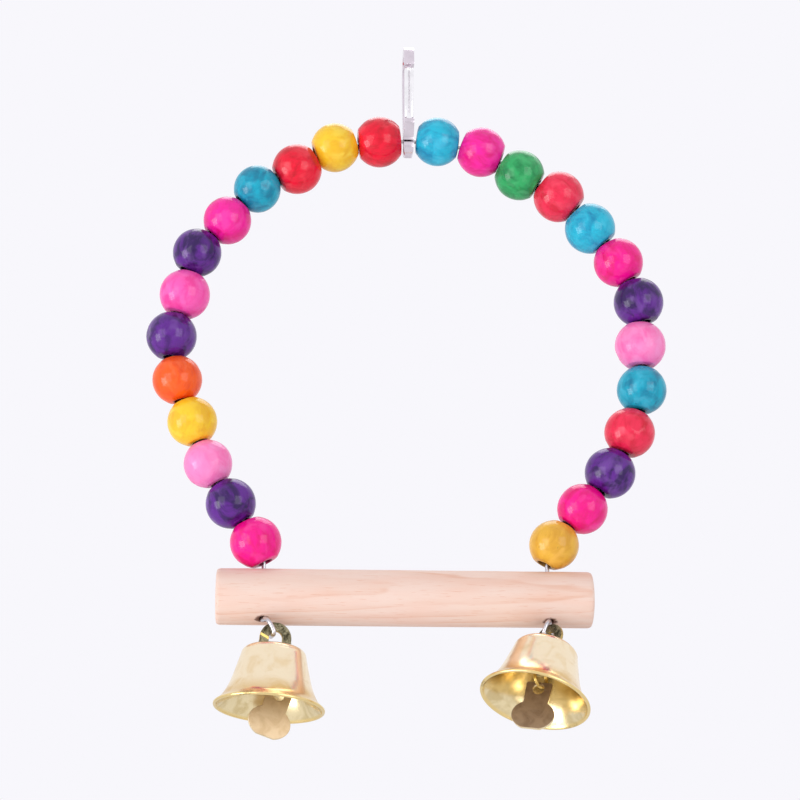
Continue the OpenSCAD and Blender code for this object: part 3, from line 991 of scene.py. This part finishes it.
def makeBell(side, finish):
    frameOf = bellFrame(side)
    outer = bellOutline(0)
    inner = bellOutline(bell["wall"])
    lip = bell["lip"]
    rim = (bell["mouth"] / 2 - lip, -bell["height"] + lip)
    angles = [math.radians(a) for a in bell["lipAngles"]]
    roll = [(rim[0] + lip * math.cos(a), rim[1] + lip * math.sin(a)) for a in angles]
    whole = outer[:-1] + roll + list(reversed(inner[:-1]))
    outline = curveThrough(whole, 3)
    points, faces = lathe([(max(0, r), h - bail["rise"]) for r, h in outline], bell["turns"])
    shell = rawMesh(f"bell_{side}_cup", placed(frameOf, points), faces)
    # Two slots in the crown let the bail's legs through
    tools = []
    legs = bail["opening"] + bail["footBand"] / 2
    wide = bail["footBand"] / 2 + bell["seatGap"]
    deep = bail["thick"] / 2 + bell["seatGap"]
    sides = [(3, 2, 1, 0), (4, 5, 6, 7), (0, 1, 5, 4), (1, 2, 6, 5), (2, 3, 7, 6), (3, 0, 4, 7)]
    for way in (-1, 1):
        corners = [Vector((way * legs + u * wide, v * deep, w - bail["rise"])) for w in bell["slotSpan"]
                   for u, v in ((-1, -1), (1, -1), (1, 1), (-1, 1))]
        tools.append(rawMesh("slot", placed(frameOf, corners), sides))
    cutOut(shell, tools)
    noteInside(shell.data, frameOf)
    settle(shell, f"bell_{side}", f"bell_{side}", finish, frameOf, crease=50)


def arc(radius, first, last, height=0.0, step=8):
    count = max(2, round(abs(last - first) / step))
    angles = [math.radians(first + (last - first) * i / count) for i in range(count + 1)]
    return [(radius * math.cos(a), height + radius * math.sin(a)) for a in angles]


def stamped(name, loops, thick, edge, frameOf):
    # Sheet metal cut along its loops, with broken edges, upright in its own XZ plane
    shape = bpy.data.curves.new("stamping", "CURVE")
    shape.dimensions = "2D"
    shape.fill_mode = "BOTH"
    shape.extrude = thick / 2 - edge
    shape.bevel_depth = edge
    shape.bevel_resolution = 2
    shape.offset = -edge
    for loop in loops:
        spline = shape.splines.new("POLY")
        spline.points.add(len(loop) - 1)
        for point, (u, v) in zip(spline.points, loop):
            point.co = (u, v, 0, 1)
        spline.use_cyclic_u = True
    pattern = bpy.data.objects.new("stamping", shape)
    bpy.context.collection.objects.link(pattern)
    bpy.context.view_layer.update()
    mesh = bpy.data.meshes.new_from_object(pattern.evaluated_get(bpy.context.evaluated_depsgraph_get()))
    upright = turned(90, "X")
    points = [frameOf @ upright @ vertex.co for vertex in mesh.vertices]
    faces = [tuple(face.vertices) for face in mesh.polygons]
    bpy.data.objects.remove(pattern)
    return rawMesh(name, points, faces)


def makeBail(side, finish):
    frameOf = bellFrame(side)
    inner = bail["opening"]
    outer = inner + bail["band"]
    foot = inner + bail["footBand"]
    flare = outer + bail["flare"]
    rise = bail["rise"]
    waist = rise * bail["flareShare"]
    shoulder = [(-outer, -waist * 0.7), (-outer - bail["flare"] * 0.16, -waist * 1.25),
                (-outer - bail["flare"] * 0.5, -waist - (rise - waist) * 0.55), (-flare, -rise)]
    outline = arc(outer, 0, 180) + shoulder + [(-foot, -rise)] + arc(foot, 180, 360, bailLow)
    outline += [(foot, -rise)] + [(-u, v) for u, v in reversed(shoulder)]
    hole = arc(inner, 0, 180) + arc(inner, 180, 360, bailLow)
    piece = stamped(f"bail_{side}_plate", [outline, hole[::-1]], bail["thick"], bail["edge"], frameOf)
    settle(piece, f"bell_{side}", f"bail_{side}", finish, frameOf, crease=34)


def makeRing(side, finish):
    # Nearly two turns of thin wire side by side, with the step from one to the other behind
    frameOf = ringFrame(side)
    path = []
    span = 720 - ring["jog"]
    for i in range(ring["steps"] + 1):
        a = span * i / ring["steps"]
        step = min(1, max(0, (a - 360 + ring["jog"]) / ring["jog"]))
        aside = ring["side"] * (2 * step * step * (3 - 2 * step) - 1)
        b = math.radians(a + ring["start"])
        path.append((aside, ring["radius"] * math.sin(b), ringCentre + ring["radius"] * math.cos(b)))
    strand = roundSection(ring["strand"] / 2, ring["sides"])
    points, faces = sweep(path, [strand] * len(path), start=(1, 0, 0))
    piece = rawMesh(f"ring_{side}_wire", placed(frameOf, points), faces)
    settle(piece, f"clapper_{side}", f"ring_{side}", finish, frameOf)


def makeClapper(side, finish):
    frameOf = clapperFrame(side)
    wide, tall = (size / 2 for size in clapper["lobe"])
    drop = clapper["length"] - tall
    top = clapper["hole"] + clapper["rim"]
    neck, head = clapper["neck"] / 2, clapper["top"] / 2
    lobe = []
    for a in range(90, 451, 5):
        b = math.radians(a)
        u, v = wide * math.cos(b), tall * math.sin(b) - drop
        # The lobe starts where the neck's sides run into it
        if abs(u) > neck + (head - neck) * (v + drop) / (top + drop):
            lobe.append((u, v))
    corner = clapper["corner"]
    outline = [
        (head - 0.05, top - corner), (head - corner * 0.5, top - corner * 0.12), (head - corner, top),
        (corner - head, top), (corner * 0.5 - head, top - corner * 0.12), (0.05 - head, top - corner),
    ] + lobe
    height = ringCentre - ring["radius"] - (clapper["hole"] - ring["wire"] / 2 - bell["seatGap"])
    loops = [outline, arc(clapper["hole"], 360, 15, step=15)]
    loops = [[(u, v + height) for u, v in loop] for loop in loops]
    piece = stamped(f"clapper_{side}_plate", loops, clapper["thick"], clapper["edge"], frameOf)
    settle(piece, f"clapper_{side}", f"clapper_{side}", finish, frameOf, crease=30)


cupBrass = cupFinish()
agedBrass = bailFinish()
ringBrass = ringFinish()
for side in ("left", "right"):
    makeBell(side, cupBrass)
    makeBail(side, agedBrass)
    makeRing(side, ringBrass)
    makeClapper(side, plateFinish(side))
print("bells hung")


# Snap hook: a stamped body with a sprung wire gate

hook = {
    "edge": 0.32,
    "rivetEdge": 0.1,
    "gateEdge": 0.12,
    "edgeSteps": 3,
    "footRound": 2.6,
    "footTip": 0.45,
    "body": fromScreen(226, 216, 224),
    # Painted reflection: the gate's steel is set near white, whiter than the body's same plate
    "gate": fromScreen(252, 251, 252),
    "rough": 0.15,
    "scratch": 0.14,
    "gateRough": 0.1,
    "gateScratch": 0.08,
}


def softened(node, edge):
    # The CAD solid with its edges rounded over
    piece = bpy.data.objects.new(node + "_metal", frame["nodes"][node].data.copy())
    bpy.context.collection.objects.link(piece)
    weld = piece.modifiers.new("weld", "WELD")
    weld.merge_threshold = 0.002 * mm
    planar = piece.modifiers.new("planar", "DECIMATE")
    planar.decimate_type = "DISSOLVE"
    planar.angle_limit = math.radians(1)
    bevel = piece.modifiers.new("bevel", "BEVEL")
    bevel.width = edge * mm
    bevel.segments = hook["edgeSteps"]
    bevel.limit_method = "ANGLE"
    bevel.angle_limit = math.radians(40)
    baked(piece)
    return piece


def tumbled(piece, low):
    # The foot was rounded off from side to side: more rows of points there, then drawn in
    shape = bmesh.new()
    shape.from_mesh(piece.data)
    top = low + hook["footRound"] * mm
    for share in (0, 0.2, 0.4, 0.6, 0.75, 0.88, 0.96):
        everything = list(shape.verts) + list(shape.edges) + list(shape.faces)
        level = top + (low - top) * share
        bmesh.ops.bisect_plane(shape, geom=everything, plane_co=(0, 0, level), plane_no=(0, 0, 1))
    for point in shape.verts:
        share = min(1, max(0, (top - point.co.z) / (top - low)))
        point.co.x *= hook["footTip"] + (1 - hook["footTip"]) * math.sqrt(1 - share * share)
    shape.to_mesh(piece.data)
    shape.free()
    return piece


hookFinish = steelFinish("brightPlate", hook["body"], hook["rough"], hook["scratch"], (0.4, 0.4, 3))
# The gate's near-white colour is a painted reflection
gateGlareFinish = steelFinish("gateGlarePlate", hook["gate"], hook["gateRough"], hook["gateScratch"], (0.6, 0.6, 2))
body = tumbled(softened("hook_body", hook["edge"]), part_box("hook_body")[0].z)
rivet = softened("gate_rivet", hook["rivetEdge"])
gate = softened("hook_gate", hook["gateEdge"])
settle(body, "hook", "hook_body", hookFinish, crease=50)
settle(rivet, "hook", "gate_rivet", hookFinish, crease=50)
settle(gate, "gate", "hook_gate", gateGlareFinish, crease=50)
print("hook fitted")
